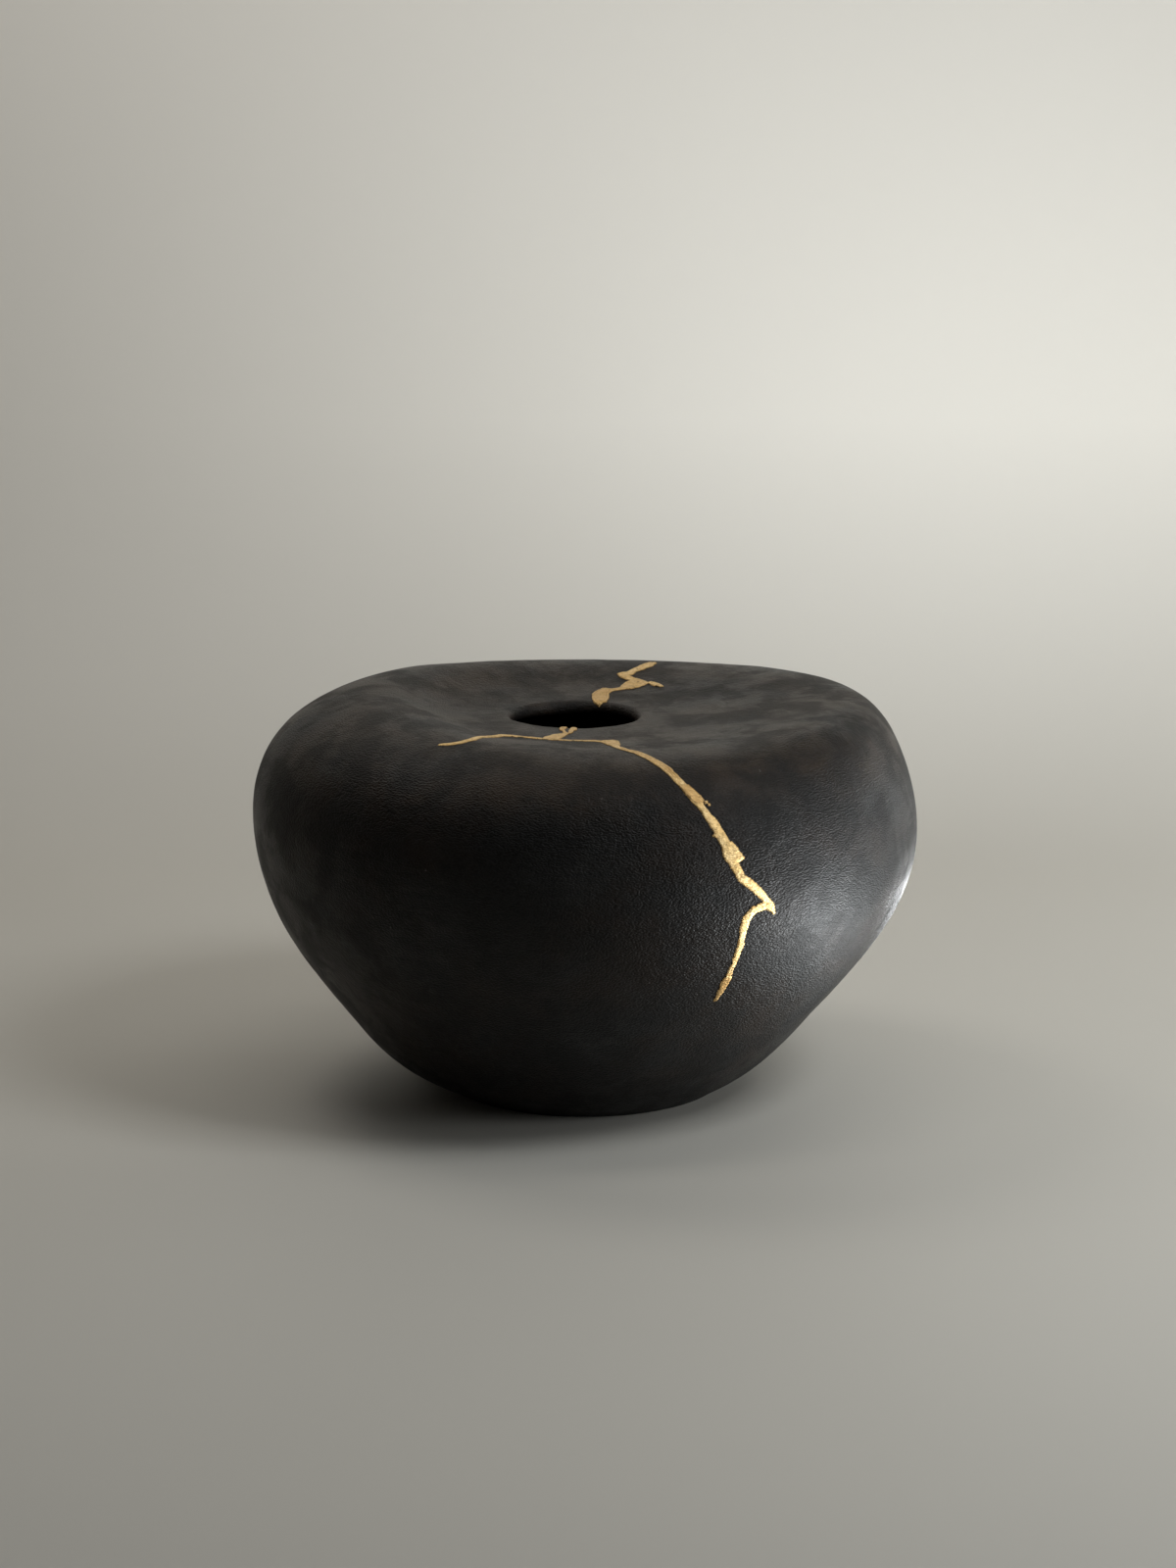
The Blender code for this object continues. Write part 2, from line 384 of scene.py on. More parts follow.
# The leaf: its grid, how deep it is let in, and how it stands proud of the clay
LEAF_STEP = 0.0003
LEAF_SUNK = 0.0006
LEAF_EDGE = 0.00014
LEAF_BODY = 0.00022
LEAF_LAP = 0.00012
LEAF_CROWN = 0.02
LEAF_ROUND = 0.00020
RAGS = ((0.0042, 0.00018, 11), (0.0014, 0.00014, 12))
WRINKLES = ((0.0030, 0.00005, 21), (0.0013, 0.00004, 22))

# A fold runs inside the leaf's edge, here and there: its distance in, breadth and depth
FOLD_INSET = 0.0011
FOLD_BREADTH = 0.00022
FOLD_DEPTH = 0.00006
FOLD_PITCH = 0.0120

# How far round a run or a patch the distance to its edge is worked out
LEAF_REACH = 0.002

# The camera stands where the photograph was taken from
CAMERA_PLACE = (0.0013, -1.4375, 0.4352)
CAMERA_TILT = 12.054
CAMERA_LENS = 80.08
CAMERA_SENSOR = 36.0


def natural_spline(knots, values):
    """Return the smooth function through the values at the knots, straight at both ends."""
    step = np.diff(knots)
    slope = np.diff(values, axis=0) / step[:, None]
    system = np.eye(len(knots))
    load = np.zeros(values.shape)
    for k in range(1, len(knots) - 1):
        system[k, k - 1 : k + 2] = step[k - 1], 2 * (step[k - 1] + step[k]), step[k]
        load[k] = 6 * (slope[k] - slope[k - 1])
    bend = np.linalg.solve(system, load)

    def value_at(place):
        k = np.clip(np.searchsorted(knots, place) - 1, 0, len(step) - 1)
        width = step[k][..., None]
        after = (place - knots[k])[..., None] / width
        before = 1 - after
        straight = before * values[k] + after * values[k + 1]
        curved = (before**3 - before) * bend[k] + (after**3 - after) * bend[k + 1]
        return straight + curved * width**2 / 6

    return value_at


def wall_profile():
    """Return the four sides as one spline, and the travel at which the foot is reached."""
    sides = np.array([radii + heights for radii, heights in RINGS.values()])
    mean = np.stack([sides[:, :4].mean(axis=1), sides[:, 4:].mean(axis=1)], axis=1)
    chords = np.linalg.norm(np.diff(mean, axis=0), axis=1)
    knots = np.concatenate([[0.0], np.cumsum(chords)])
    return natural_spline(knots, sides), knots[-1]


PROFILE, FOOT_TRAVEL = wall_profile()


def plain_skin(azimuth, travel):
    """Return points of the outer wall before the mounds, with the azimuth in radians."""
    sides = PROFILE(travel)
    across = np.cos(azimuth) / 2
    deep = np.sin(azimuth) / 2
    oval = np.cos(2 * azimuth) / 4
    share = (0.25 + across + oval, 0.25 + deep - oval, 0.25 - across + oval, 0.25 - deep - oval)
    radius = sum(part * sides[..., k] for k, part in enumerate(share))
    height = sum(part * sides[..., k + 4] for k, part in enumerate(share))
    return np.stack([radius * np.cos(azimuth), radius * np.sin(azimuth), height], axis=-1)


def unit(vectors):
    return vectors / np.linalg.norm(vectors, axis=-1, keepdims=True)


def directions(surface, azimuth, travel):
    """Return the outward normal and the direction of travel on a surface."""
    down = surface(azimuth, travel + SMALL_STEP) - surface(azimuth, travel - SMALL_STEP)
    turn = SMALL_STEP / HALF_WIDTH
    around = surface(azimuth + turn, travel) - surface(azimuth - turn, travel)
    return unit(np.cross(down, around)), unit(down)


def skin(azimuth, travel):
    """Return points of the outer wall, with its mounds and hollows."""
    points = plain_skin(azimuth, travel)
    normal, _ = directions(plain_skin, azimuth, travel)
    rise = 0.0
    for angle, distance, spread, height in MOUNDS:
        centre = plain_skin(np.radians(angle), np.asarray(distance))
        away = np.linalg.norm(points - centre, axis=-1)
        rise = rise + height * np.exp(-((away / spread) ** 2))
    return points + normal * np.expand_dims(rise, -1)


def wall_face(azimuth, travel):
    """Return points and outward normals all over the shell.

    From 0 up the travel runs down the outside. Below 0 it goes round the lip's half circle,
    and then down the inside, one wall's thickness behind the outside.
    """
    azimuth, travel = np.broadcast_arrays(azimuth, travel)
    half_turn = math.pi * LIP_RADIUS
    outside = np.maximum(travel, 0.0) + np.maximum(-travel - half_turn, 0.0)
    points = skin(azimuth, outside)
    normal, down = directions(skin, azimuth, outside)
    turned = np.clip(-travel, 0.0, half_turn)[..., None] / LIP_RADIUS
    facing = normal * np.cos(turned) - down * np.sin(turned)
    return points - (normal - facing) * LIP_RADIUS, facing


def lattice_values(cells, seed):
    """Return a steady random value from -1 to 1 for each whole-numbered cell."""
    key = cells.astype(np.int64)
    mixed = key[..., 0] * 73856093 ^ key[..., 1] * 19349663 ^ key[..., 2] * 83492791
    mixed = (mixed ^ (seed * 2654435761)) & 0xFFFFFFFF
    for factor in (2246822519, 3266489917):
        mixed = ((mixed ^ (mixed >> 15)) * factor) & 0xFFFFFFFF
    return (mixed ^ (mixed >> 16)) / 2147483647.5 - 1


def noise(points, pitch, seed):
    """Return smooth noise from -1 to 1 whose swells are about one pitch across."""
    places = points / pitch
    cell = np.floor(places)
    part = places - cell
    part = part * part * part * (part * (part * 6 - 15) + 10)
    total = 0.0
    for corner in np.ndindex(2, 2, 2):
        share = np.prod(np.where(np.array(corner), part, 1 - part), axis=-1)
        total = total + share * lattice_values(cell + np.array(corner), seed)
    return total


def clay_face(azimuth, travel):
    """Return points and normals of the clay, with the unevenness that hand work leaves."""
    points, facing = wall_face(azimuth, travel)
    rise = -CLAY_INSET
    for pitch, height, seed in SWELLS:
        rise = rise + height * noise(points, pitch, seed)
    radius = np.hypot(points[..., 0], points[..., 1])
    around = np.arctan2(points[..., 1], points[..., 0]) * 0.012
    turned = np.stack([radius, around, points[..., 2]], axis=-1)
    rise = rise + TURNING_RISE * noise(turned, TURNING_PITCH, 4)
    return points + facing * rise[..., None], facing


def new_object(name, points, faces, material, smooth_angle=40):
    mesh = bpy.data.meshes.new(name)
    mesh.from_pydata(np.asarray(points).tolist(), [], faces)
    mesh.shade_smooth()
    mesh.set_sharp_from_angle(angle=math.radians(smooth_angle))
    mesh.materials.append(material)
    made = bpy.data.objects.new(name, mesh)
    bpy.context.scene.collection.objects.link(made)
    return made


COLUMNS = 400
OUTER_ROWS = 150
LIP_ROWS = 12
INNER_ROWS = 40
DISC_ROWS = 8


def disc_rings(edge, centre_height):
    """Return rings from an edge ring towards the middle, at an eased height."""
    rings = []
    for k in range(1, DISC_ROWS):
        share = k / DISC_ROWS
        eased = 1 - (1 - share) ** 3
        ring = edge * (1 - share)
        ring[:, 2] = edge[:, 2] * (1 - eased) + centre_height * eased
        rings.append(ring)
    return rings


def make_shell(material):
    """Make the clay: the inner floor, the inside, the lip, the outside and the underside."""
    half_turn = math.pi * LIP_RADIUS
    inside = -half_turn - np.linspace(INNER_END, 0.0, INNER_ROWS)
    lip = -np.linspace(half_turn, 0.0, LIP_ROWS + 1)[1:-1]
    outside = np.linspace(0.0, FOOT_TRAVEL, OUTER_ROWS)
    travels = np.concatenate([inside, lip, outside])
    azimuths = np.arange(COLUMNS) * math.tau / COLUMNS
    wall, _ = clay_face(azimuths[None, :], travels[:, None])
    wall[-1, :, 2] = 0.0
    inner_floor = disc_rings(wall[0], FLOOR)[::-1]
    underside = disc_rings(wall[-1], 0.0)
    rings = np.array(inner_floor + list(wall) + underside)
    points = rings.reshape(-1, 3).tolist()
    points += [(0.0, 0.0, FLOOR), (0.0, 0.0, 0.0)]
    floor_point, foot_point = len(points) - 2, len(points) - 1
    last = (len(rings) - 1) * COLUMNS
    faces = []
    for k in range(COLUMNS):
        n = (k + 1) % COLUMNS
        faces.append((floor_point, k, n))
        faces.append((foot_point, last + n, last + k))
        for row in range(0, last, COLUMNS):
            faces.append((row + k, row + COLUMNS + k, row + COLUMNS + n, row + n))
    return new_object("vase_shell", points, faces, material)


def away_from_line(across, down, start, end):
    """Return the distance of places from a straight line, and where along it they lie."""
    run = (end[0] - start[0], end[1] - start[1])
    across = across - start[0]
    down = down - start[1]
    share = np.clip((across * run[0] + down * run[1]) / (run[0] ** 2 + run[1] ** 2), 0, 1)
    return np.hypot(across - share * run[0], down - share * run[1]), share


def flat_window(azimuths, travels, corners, reach):
    """Return the rows and columns of a grid near some corners, and all of these laid flat.

    The corners are azimuths in degrees and travels. Laid flat, both are in metres.
    """
    turns = np.radians([corner[0] for corner in corners])
    downs = np.array([corner[1] for corner in corners])
    middle, _ = wall_face((turns.min() + turns.max()) / 2, (downs.min() + downs.max()) / 2)
    arc = math.hypot(middle[0], middle[1])
    sides = (turns.min() - reach / arc, turns.max() + reach / arc)
    columns = slice(*np.searchsorted(azimuths, sides))
    rows = slice(*np.searchsorted(travels, (downs.min() - reach, downs.max() + reach)))
    flat = list(zip(turns * arc, downs))
    return rows, columns, azimuths[None, columns] * arc, travels[rows, None], flat


def strip_field(azimuths, travels, routes):
    """Return how far each place of a grid lies outside the routes' strips, in metres."""
    field = np.full((len(travels), len(azimuths)), 1.0)
    for route in routes:
        for start, end in zip(route, route[1:]):
            reach = max(start[2], end[2]) / 2 + LEAF_REACH
            rows, columns, across, down, flat = flat_window(azimuths, travels, (start, end), reach)
            away, share = away_from_line(across, down, *flat)
            half = (start[2] + (end[2] - start[2]) * share) / 2
            field[rows, columns] = np.minimum(field[rows, columns], away - half)
    return field


def patch_field(azimuths, travels, corners):
    """Return rows, columns and how far their places lie outside a patch, in metres."""
    rows, columns, across, down, flat = flat_window(azimuths, travels, corners, LEAF_REACH)
    field = np.full((down.shape[0], across.shape[1]), 1.0)
    inside = np.zeros(field.shape, bool)
    for start, end in zip(flat, flat[1:] + flat[:1]):
        field = np.minimum(field, away_from_line(across, down, start, end)[0])
        slant = (end[0] - start[0]) / (end[1] - start[1] + 1e-12)
        passed = (start[1] > down) != (end[1] > down)
        inside ^= passed & (across < start[0] + slant * (down - start[1]))
    return rows, columns, np.where(inside, -field, field)


def eased(depth):
    """Return 0 at the leaf's edge and nearly 1 well inside it."""
    return 1 - np.exp(-np.maximum(depth, 0.0) / LEAF_ROUND)


def set_attribute(mesh, name, values):
    mesh.attributes.new(name, "FLOAT", "POINT").data.foreach_set("value", values)


def make_leaf(name, routes, patches, material):
    """Make one mended crack: runs and patches of leaf with ragged edges, let into the clay.

    Each point carries how near it is to an edge, as "rim", and how brown it is, as "brown".
    """
    stops = np.array([stop[:2] for route in routes for stop in route])
    corners = np.array([corner for _, outline in patches.values() for corner in outline])
    stops = np.concatenate([stops, corners])
    margin = 0.010
    arc = HALF_WIDTH
    turn_low = math.radians(stops[:, 0].min()) - margin / 0.03
    turn_high = math.radians(stops[:, 0].max()) + margin / arc
    azimuths = np.arange(turn_low, turn_high, LEAF_STEP / arc)
    travels = np.arange(stops[:, 1].min() - margin, stops[:, 1].max() + margin, LEAF_STEP)
    field = strip_field(azimuths, travels, routes)
    lap = np.zeros(field.shape)
    brown = np.zeros(field.shape)
    for tone, outline in patches.values():
        rows, columns, part = patch_field(azimuths, travels, outline)
        field[rows, columns] = np.minimum(field[rows, columns], part)
        lap[rows, columns] = np.maximum(lap[rows, columns], eased(-part))
        brown[rows, columns] = np.maximum(brown[rows, columns], tone * eased(-part))
    near = field < 0.0015
    turns, downs = np.meshgrid(azimuths, travels)
    bare, _ = wall_face(turns[near], downs[near])
    for pitch, height, seed in RAGS:
        field[near] += height * noise(bare, pitch, seed)
    inside = field < 0.3 * LEAF_STEP
    whole = inside[:-1, :-1] & inside[1:, :-1] & inside[:-1, 1:] & inside[1:, 1:]
    used = np.zeros(inside.shape, bool)
    count = np.zeros(inside.shape, int)
    for i, j in np.ndindex(2, 2):
        rows = slice(i, i + whole.shape[0])
        columns = slice(j, j + whole.shape[1])
        used[rows, columns] |= whole
        count[rows, columns] += whole
    border = used & (count < 4)
    slope_down, slope_across = np.gradient(field)
    steep = slope_down**2 + slope_across**2 + 1e-12
    shift = np.where(border, np.clip(-field / steep * np.sqrt(steep), -LEAF_STEP, LEAF_STEP), 0.0)
    turns = turns + shift * slope_across / np.sqrt(steep) * (azimuths[1] - azimuths[0]) / LEAF_STEP
    downs = downs + shift * slope_down / np.sqrt(steep)
    number = np.cumsum(used).reshape(used.shape) - 1
    points, facing = clay_face(turns[used], downs[used])
    depth = np.where(border, 0.0, np.maximum(-field, 0.0))[used]
    rise = LEAF_EDGE + LEAF_BODY * eased(depth) + LEAF_CROWN * depth + LEAF_LAP * lap[used]
    for pitch, height, seed in WRINKLES:
        crease = 1 - 2 * np.abs(noise(points, pitch, seed))
        rise = rise + height * crease * eased(depth)
    fold = np.exp(-(((depth - FOLD_INSET) / FOLD_BREADTH) ** 2))
    fold = fold * np.clip(2.5 * noise(points, FOLD_PITCH, 31), 0, 1)
    top = points + facing * (rise - FOLD_DEPTH * fold)[:, None]
    bottom = points - facing * LEAF_SUNK
    rows, columns = np.nonzero(whole)
    corners = (
        number[rows, columns],
        number[rows + 1, columns],
        number[rows + 1, columns + 1],
        number[rows, columns + 1],
    )
    upper = np.stack(corners, axis=1)
    lower = upper[:, ::-1] + len(top)
    edges = {}
    for quad in upper.tolist():
        for a, b in zip(quad, quad[1:] + quad[:1]):
            edges[(a, b)] = True
    skirt = [(b, a, a + len(top), b + len(top)) for a, b in edges if (b, a) not in edges]
    faces = upper.tolist() + lower.tolist() + skirt
    made = new_object(name, np.concatenate([top, bottom]), faces, material, 60)
    set_attribute(made.data, "rim", np.concatenate([1 - eased(depth), np.ones(len(top))]))
    tone = np.maximum(brown[used], fold)
    set_attribute(made.data, "brown", np.concatenate([tone, tone]))
    return made


def link_or_set(tree, socket, value):
    if isinstance(value, bpy.types.NodeSocket):
        tree.links.new(value, socket)
    else:
        socket.default_value = value


def add_node(tree, kind, inputs=None, **settings):
    """Add a shader node, set its properties, and link or set its inputs by name or number."""
    made = tree.nodes.new("ShaderNode" + kind)
    for name, value in settings.items():
        setattr(made, name, value)
    for name, value in (inputs or {}).items():
        link_or_set(tree, made.inputs[name], value)
    return made


def math_node(tree, operation, first, second=0.0):
    return add_node(tree, "Math", {0: first, 1: second}, operation=operation).outputs[0]


def vector_node(tree, operation, first, second=(0.0, 0.0, 0.0)):
    return add_node(tree, "VectorMath", {0: first, 1: second}, operation=operation).outputs[0]


def new_group(name, inputs, outputs):
    """Start a node group with named number inputs, and return it with its two end nodes."""
    tree = bpy.data.node_groups.new(name, "ShaderNodeTree")
    for label, value in inputs.items():
        socket = tree.interface.new_socket(label, in_out="INPUT", socket_type="NodeSocketFloat")
        socket.default_value = value
    for label in outputs:
        tree.interface.new_socket(label, in_out="OUTPUT", socket_type="NodeSocketFloat")
    return tree, tree.nodes.new("NodeGroupInput"), tree.nodes.new("NodeGroupOutput")


def use_group(tree, group, **values):
    made = tree.nodes.new("ShaderNodeGroup")
    made.node_tree = group
    for label, value in values.items():
        link_or_set(tree, made.inputs[label.replace("_", " ")], value)
    return made


def stipple_group():
    """Fine short grains that lie round the vase, as a stiff brush leaves them in slip.

    The output is a height. Each grain is drawn out by averaging the noise at three places
    along the way round.
    """
    tree, start, end = new_group("clay stipple", {"Pitch": 0.0010, "Bend": 0.4}, ["Height"])
    place = add_node(tree, "TexCoord").outputs["Object"]
    scale = math_node(tree, "DIVIDE", 1.0, start.outputs["Pitch"])
    around = vector_node(tree, "CROSS_PRODUCT", (0.0, 0.0, 1.0), place)
    around = vector_node(tree, "NORMALIZE", around)
    step = add_node(tree, "VectorMath", {0: around, "Scale": start.outputs["Pitch"]}, operation="SCALE")
    total = 0.0
    for share in (-0.42, 0.0, 0.42):
        moved = add_node(tree, "VectorMath", {0: step.outputs[0], "Scale": share}, operation="SCALE")
        settings = {
            "Vector": vector_node(tree, "ADD", place, moved.outputs[0]),
            "Scale": scale,
            "Detail": 1.0,
            "Roughness": 0.35,
            "Distortion": start.outputs["Bend"],
        }
        total = math_node(tree, "ADD", total, add_node(tree, "TexNoise", settings).outputs["Fac"])
    high = add_node(
        tree,
        "MapRange",
        {"Value": total, "From Min": 1.05, "From Max": 1.95},
        interpolation_type="SMOOTHSTEP",
    ).outputs["Result"]
    tree.links.new(high, end.inputs["Height"])
    return tree


def streak_group():
    """Streaks that run round the vase, as turning and brushing leave them."""
    tree, start, end = new_group(
        "turning streaks", {"Width": 0.002, "Length": 0.03, "Low": 0.4, "High": 0.65}, ["Mask"]
    )
    place = add_node(tree, "TexCoord").outputs["Object"]
    axes = add_node(tree, "SeparateXYZ", {0: place}).outputs
    angle = math_node(tree, "ARCTAN2", axes["Y"], axes["X"])
    arc = math_node(tree, "MULTIPLY", angle, 0.1)
    along = math_node(tree, "DIVIDE", arc, start.outputs["Length"])
    squares = math_node(
        tree,
        "ADD",
        math_node(tree, "MULTIPLY", axes["X"], axes["X"]),
        math_node(tree, "MULTIPLY", axes["Y"], axes["Y"]),
    )
    radius = math_node(tree, "SQRT", squares)
    out = math_node(tree, "DIVIDE", radius, start.outputs["Width"])
    up = math_node(tree, "DIVIDE", axes["Z"], start.outputs["Width"])
    vector = add_node(tree, "CombineXYZ", {"X": along, "Y": out, "Z": up}).outputs[0]
    grain = add_node(
        tree,
        "TexNoise",
        {"Vector": vector, "Scale": 1.0, "Detail": 3.0, "Roughness": 0.6, "Distortion": 0.3},
    ).outputs["Fac"]
    mask = add_node(
        tree,
        "MapRange",
        {"Value": grain, "From Min": start.outputs["Low"], "From Max": start.outputs["High"]},
    ).outputs["Result"]
    tree.links.new(mask, end.inputs["Mask"])
    return tree


def cloud_group():
    """Soft clouds with broken edges, for the mottling of a smoke-dark clay."""
    tree, start, end = new_group(
        "clouding", {"Size": 0.04, "Seed": 0.0, "Low": 0.42, "High": 0.62}, ["Mask"]
    )
    place = add_node(tree, "TexCoord").outputs["Object"]
    scale = math_node(tree, "DIVIDE", 1.0, start.outputs["Size"])
    settings = {
        "Vector": place,
        "W": start.outputs["Seed"],
        "Scale": scale,
        "Detail": 5.0,
        "Roughness": 0.62,
        "Distortion": 0.4,
    }
    grain = add_node(tree, "TexNoise", settings, noise_dimensions="4D").outputs["Fac"]
    mask = add_node(
        tree,
        "MapRange",
        {"Value": grain, "From Min": start.outputs["Low"], "From Max": start.outputs["High"]},
        interpolation_type="SMOOTHSTEP",
    ).outputs["Result"]
    tree.links.new(mask, end.inputs["Mask"])
    return tree


def mix_colour(tree, share, first, second, blend="MIX"):
    made = add_node(tree, "Mix", data_type="RGBA", blend_type=blend)
    link_or_set(tree, made.inputs["Factor"], share)
    link_or_set(tree, made.inputs["A"], first)
    link_or_set(tree, made.inputs["B"], second)
    return made.outputs["Result"]


def new_material(name):
    """Return a material, its node tree and its Principled shader."""
    material = bpy.data.materials.new(name)
    material.use_nodes = True
    tree = material.node_tree
    return material, tree, tree.nodes["Principled BSDF"]


def scaled(tree, value, factor):
    return math_node(tree, "MULTIPLY", value, factor)


def clay_material(groups):
    """Black stoneware: smoke-dark, clouded with umber and slate, brushed and pitted."""
    material, tree, shader = new_material("brushed_stoneware")
    stipple = use_group(tree, groups["stipple"], Pitch=0.0006, Bend=0.3).outputs["Height"]
    coarse = use_group(tree, groups["cloud"], Size=0.0045, Seed=3.0, Low=0.3, High=0.7).outputs["Mask"]
    streaks = use_group(
        tree, groups["streak"], Width=0.0030, Length=0.03, Low=0.46, High=0.72
    ).outputs["Mask"]
    umber = use_group(tree, groups["cloud"], Size=0.060, Seed=1.0, Low=0.42, High=0.62).outputs["Mask"]
    slate = use_group(tree, groups["cloud"], Size=0.034, Seed=7.0, Low=0.44, High=0.64).outputs["Mask"]
    smoke = use_group(tree, groups["cloud"], Size=0.022, Seed=4.0, Low=0.42, High=0.60).outputs["Mask"]
    dust_and_sheen_clouds = use_group(tree, groups["cloud"], Size=0.028, Seed=12.0, Low=0.28, High=0.62).outputs["Mask"]
    speck = use_group(tree, groups["cloud"], Size=0.0026, Seed=9.0, Low=0.68, High=0.73).outputs["Mask"]
    place = add_node(tree, "TexCoord").outputs["Object"]
    up = add_node(tree, "SeparateXYZ", {0: place}).outputs["Z"]
    top = add_node(
        tree,
        "MapRange",
        {"Value": up, "From Min": TOP_DUST_AND_SHEEN_START, "From Max": TOP_DUST_AND_SHEEN_FULL},
        interpolation_type="SMOOTHSTEP",
    ).outputs["Result"]
    dust_and_top_sheen = math_node(tree, "MULTIPLY", top, dust_and_sheen_clouds)

    charcoal = (0.0042, 0.0040, 0.0038, 1.0)
    colour = mix_colour(tree, scaled(tree, umber, 0.8), charcoal, (0.0140, 0.0085, 0.0058, 1.0))
    colour = mix_colour(tree, scaled(tree, slate, 0.7), colour, (0.0120, 0.0127, 0.0134, 1.0))
    # Painted sheen and dust: above the shoulder the top is painted a lighter warm brown, in clouds
    colour = mix_colour(tree, scaled(tree, dust_and_top_sheen, 0.75), colour, (0.044, 0.028, 0.017, 1.0))
    brushed = math_node(tree, "MULTIPLY", streaks, slate)
    colour = mix_colour(tree, scaled(tree, brushed, 0.35), colour, (0.034, 0.030, 0.026, 1.0))
    colour = mix_colour(tree, scaled(tree, smoke, 0.6), colour, (0.0030, 0.0029, 0.0028, 1.0))
    colour = mix_colour(tree, scaled(tree, stipple, 0.20), colour, (0.026, 0.025, 0.024, 1.0))
    colour = mix_colour(tree, scaled(tree, speck, 0.5), colour, (0.13, 0.12, 0.11, 1.0))
    tree.links.new(colour, shader.inputs["Base Color"])

    rough = math_node(tree, "MULTIPLY_ADD", smoke, 0.14)
    rough.node.inputs[2].default_value = 0.42
    rough = math_node(tree, "SUBTRACT", rough, scaled(tree, brushed, 0.06))
    tree.links.new(rough, shader.inputs["Roughness"])
    shader.inputs["IOR"].default_value = 1.29

    height = math_node(tree, "ADD", stipple, scaled(tree, streaks, 0.15))
    height = math_node(tree, "ADD", height, scaled(tree, coarse, 0.6))
    bump = add_node(tree, "Bump", {"Height": height, "Strength": 1.0, "Distance": 0.00018})
    tree.links.new(bump.outputs["Normal"], shader.inputs["Normal"])
    return material


def gold_material(groups):
    """Gold leaf: satin, laid over the pitted clay, brown where it is thin, and darker towards its edges
    with painted shade.
    """
    material, tree, shader = new_material("gold_leaf")
    place = add_node(tree, "TexCoord").outputs["Object"]
    brown = add_node(tree, "Attribute", attribute_name="brown").outputs["Fac"]
    rim = add_node(tree, "Attribute", attribute_name="rim").outputs["Fac"]
    stipple = use_group(tree, groups["stipple"], Pitch=0.0007, Bend=1.2).outputs["Height"]
    grain = use_group(tree, groups["cloud"], Size=0.0011, Seed=6.0, Low=0.48, High=0.58).outputs["Mask"]
    fleck = use_group(tree, groups["cloud"], Size=0.0020, Seed=5.0, Low=0.60, High=0.66).outputs["Mask"]
    tone = use_group(tree, groups["cloud"], Size=0.0060, Seed=2.0, Low=0.35, High=0.65).outputs["Mask"]
    crinkle = add_node(
        tree,
        "TexNoise",
        {"Vector": place, "Scale": 1500.0, "Detail": 3.0, "Roughness": 0.6, "Distortion": 1.0},
    ).outputs["Fac"]
    colour = mix_colour(tree, tone, (0.83, 0.58, 0.25, 1.0), (0.92, 0.70, 0.37, 1.0))
    colour = mix_colour(tree, brown, colour, (0.44, 0.24, 0.07, 1.0))
    colour = mix_colour(tree, scaled(tree, grain, 0.55), colour, (0.52, 0.31, 0.12, 1.0))
    # Painted shade: the leaf is darkened towards its edges, where its rounded edge turns away from the
    # light
    colour = mix_colour(tree, scaled(tree, rim, 0.55), colour, (0.46, 0.25, 0.07, 1.0))
    colour = mix_colour(tree, scaled(tree, fleck, 0.60), colour, (0.20, 0.10, 0.03, 1.0))
    tree.links.new(colour, shader.inputs["Base Color"])
    shader.inputs["Metallic"].default_value = 1.0
    rough = math_node(tree, "MULTIPLY_ADD", crinkle, 0.25)
    rough.node.inputs[2].default_value = 0.40
    tree.links.new(rough, shader.inputs["Roughness"])
    height = math_node(tree, "ADD", stipple, scaled(tree, crinkle, 0.6))
    bump = add_node(tree, "Bump", {"Height": height, "Strength": 1.0, "Distance": 0.00012})
    tree.links.new(bump.outputs["Normal"], shader.inputs["Normal"])
    return material


FLOOR_BACK = 0.36
SWEEP_RADIUS = 0.22
WALL_TOP = 2.0
STAGE_HALF = 2.2
STAGE_FRONT = -2.4


def stage_material():
    """A plain pale ground. It lets a view from behind pass through its back."""
    material, tree, shader = new_material("studio_paper")
    place = add_node(tree, "TexCoord").outputs["Object"]
    grain = add_node(tree, "TexNoise", {"Vector": place, "Scale": 2.2, "Detail": 2.0}).outputs["Fac"]
    low = mix_colour(tree, grain, (0.60, 0.575, 0.520, 1.0), (0.64, 0.615, 0.560, 1.0))
    high = mix_colour(tree, grain, (0.80, 0.765, 0.700, 1.0), (0.84, 0.805, 0.740, 1.0))
    height = add_node(tree, "SeparateXYZ", {0: place}).outputs["Z"]
    rise = add_node(tree, "MapRange", {"Value": height, "From Max": SWEEP_RADIUS}).outputs["Result"]
    tree.links.new(mix_colour(tree, rise, low, high), shader.inputs["Base Color"])
    shader.inputs["Roughness"].default_value = 0.6
    clear = add_node(tree, "BsdfTransparent")
    back = add_node(tree, "NewGeometry").outputs["Backfacing"]
    mixed = add_node(tree, "MixShader", {0: back, 1: shader.outputs[0], 2: clear.outputs[0]})
    tree.links.new(mixed.outputs[0], tree.nodes["Material Output"].inputs["Surface"])
    return material


def make_stage():
    """Make the pale floor, which sweeps up into a backdrop behind the vase."""
    profile = [(STAGE_FRONT, 0.0)]
    profile += [(y, 0.0) for y in np.linspace(-1.0, FLOOR_BACK, 8)]
    for turn in np.radians(np.linspace(6, 90, 15)):
        profile.append((FLOOR_BACK + SWEEP_RADIUS * math.sin(turn), SWEEP_RADIUS * (1 - math.cos(turn))))
    profile.append((FLOOR_BACK + SWEEP_RADIUS, WALL_TOP))
    points = [(side * STAGE_HALF, y, z) for y, z in profile for side in (-1, 1)]
    faces = [(2 * k, 2 * k + 1, 2 * k + 3, 2 * k + 2) for k in range(len(profile) - 1)]
    made = new_object("studio_ground", points, faces, stage_material())


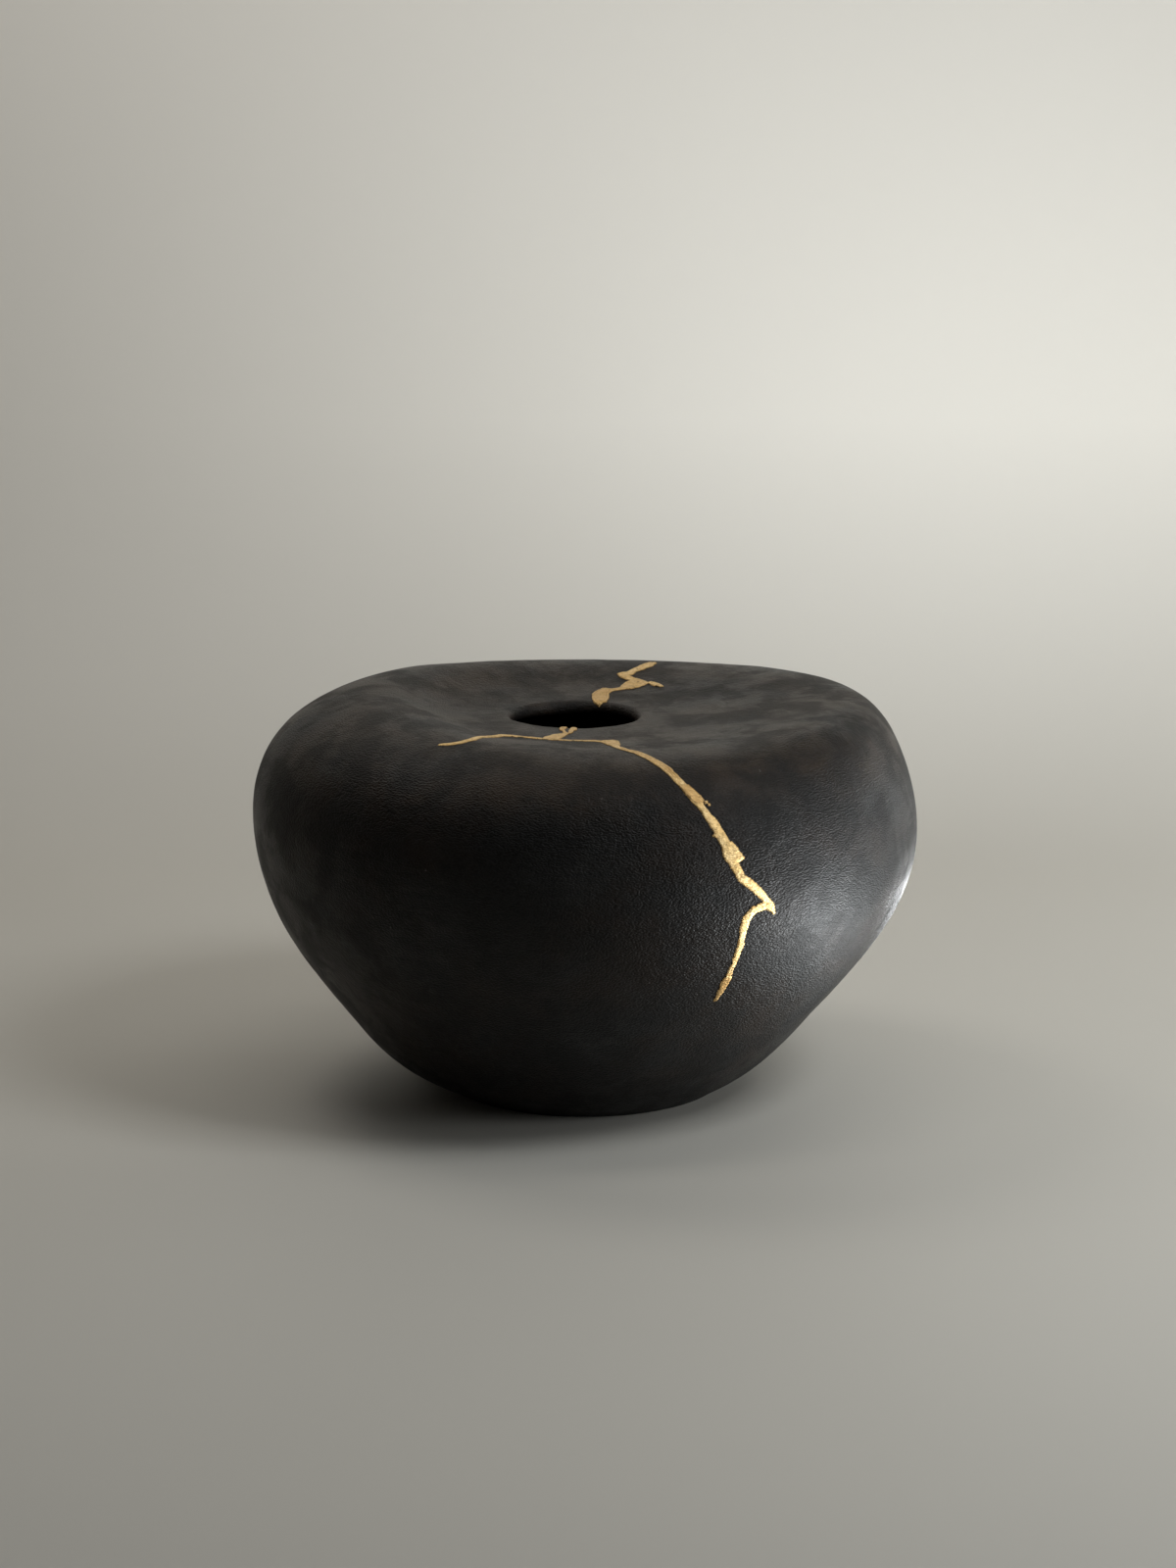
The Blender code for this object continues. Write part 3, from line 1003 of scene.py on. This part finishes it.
def add_softbox(name, place, target, size, watts, colour, spread=180):
    """Add an area light that faces a target. Its size is its width and height."""
    light = bpy.data.lights.new(name, "AREA")
    light.shape = "RECTANGLE"
    light.size, light.size_y = size
    light.energy = watts
    light.color = colour
    light.spread = math.radians(spread)
    made = bpy.data.objects.new(name, light)
    made.location = place
    made.rotation_euler = (Vector(target) - Vector(place)).to_track_quat("-Z", "Y").to_euler()
    bpy.context.scene.collection.objects.link(made)


def light_the_stage():
    warm = (1.0, 0.97, 0.92)
    cool = (0.94, 0.98, 1.0)
    add_softbox("wall_washer", (0.10, -0.10, 1.90), (-0.05, 0.60, 0.75), (1.8, 0.40), 2.6, warm, 120)
    add_softbox("window", (0.84, -0.39, 0.27), (0.0, 0.0, 0.09), (0.26, 0.46), 2.0, cool)
    add_softbox("high_window", (0.50, -0.36, 0.80), (0.0, 0.0, 0.09), (0.30, 0.26), 2.8, cool)
    add_softbox("side_card", (0.76, 0.30, 0.12), (0.0, 0.0, 0.09), (0.30, 0.20), 1.4, cool)
    add_softbox("low_card", (0.24, -0.09, 0.004), (0.24, -0.09, 1.0), (0.13, 0.13), 1.35, cool)
    add_softbox("rear_card", (0.17, 0.21, 0.004), (0.17, 0.21, 1.0), (0.16, 0.10), 1.15, cool)
    add_softbox("back_light", (-0.37, 0.26, 0.87), (0.0, 0.0, 0.12), (0.30, 0.30), 1.0, warm)
    world = bpy.data.worlds.new("dim_room")
    world.use_nodes = True
    tree = world.node_tree
    room = tree.nodes["Background"]
    room.inputs["Color"].default_value = (1.0, 0.96, 0.90, 1.0)
    room.inputs["Strength"].default_value = 0.02
    pale = add_node(tree, "Background", {"Color": (0.50, 0.47, 0.42, 1.0)})
    seen = add_node(tree, "LightPath").outputs["Is Camera Ray"]
    mixed = add_node(tree, "MixShader", {0: seen, 1: room.outputs[0], 2: pale.outputs[0]})
    tree.links.new(mixed.outputs[0], tree.nodes["World Output"].inputs["Surface"])
    bpy.context.scene.world = world
    bpy.context.scene.view_settings.view_transform = "Standard"


def add_camera():
    camera = bpy.data.cameras.new("photographer")
    camera.lens = CAMERA_LENS
    camera.sensor_width = CAMERA_SENSOR
    made = bpy.data.objects.new("photographer", camera)
    made.location = CAMERA_PLACE
    made.rotation_euler = (math.radians(90 - CAMERA_TILT), 0.0, 0.0)
    bpy.context.scene.collection.objects.link(made)
    bpy.context.scene.camera = made


def main():
    add_camera()
    light_the_stage()
    make_stage()
    groups = {"stipple": stipple_group(), "streak": streak_group(), "cloud": cloud_group()}
    clay = clay_material(groups)
    gold = gold_material(groups)

    shell = make_shell(clay)
    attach(shell, "root")
    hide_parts("vase_body")

    front = make_leaf("gold_leaf_front", (RIGHT_BRANCH, TAIL, LEFT_BRANCH), FRONT_PATCHES, gold)
    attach(front, "root")
    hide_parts("gold_seam_front")

    back = make_leaf("gold_leaf_back", (REAR_LINK,), REAR_PATCHES, gold)
    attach(back, "root")
    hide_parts("gold_seam_back")


main()
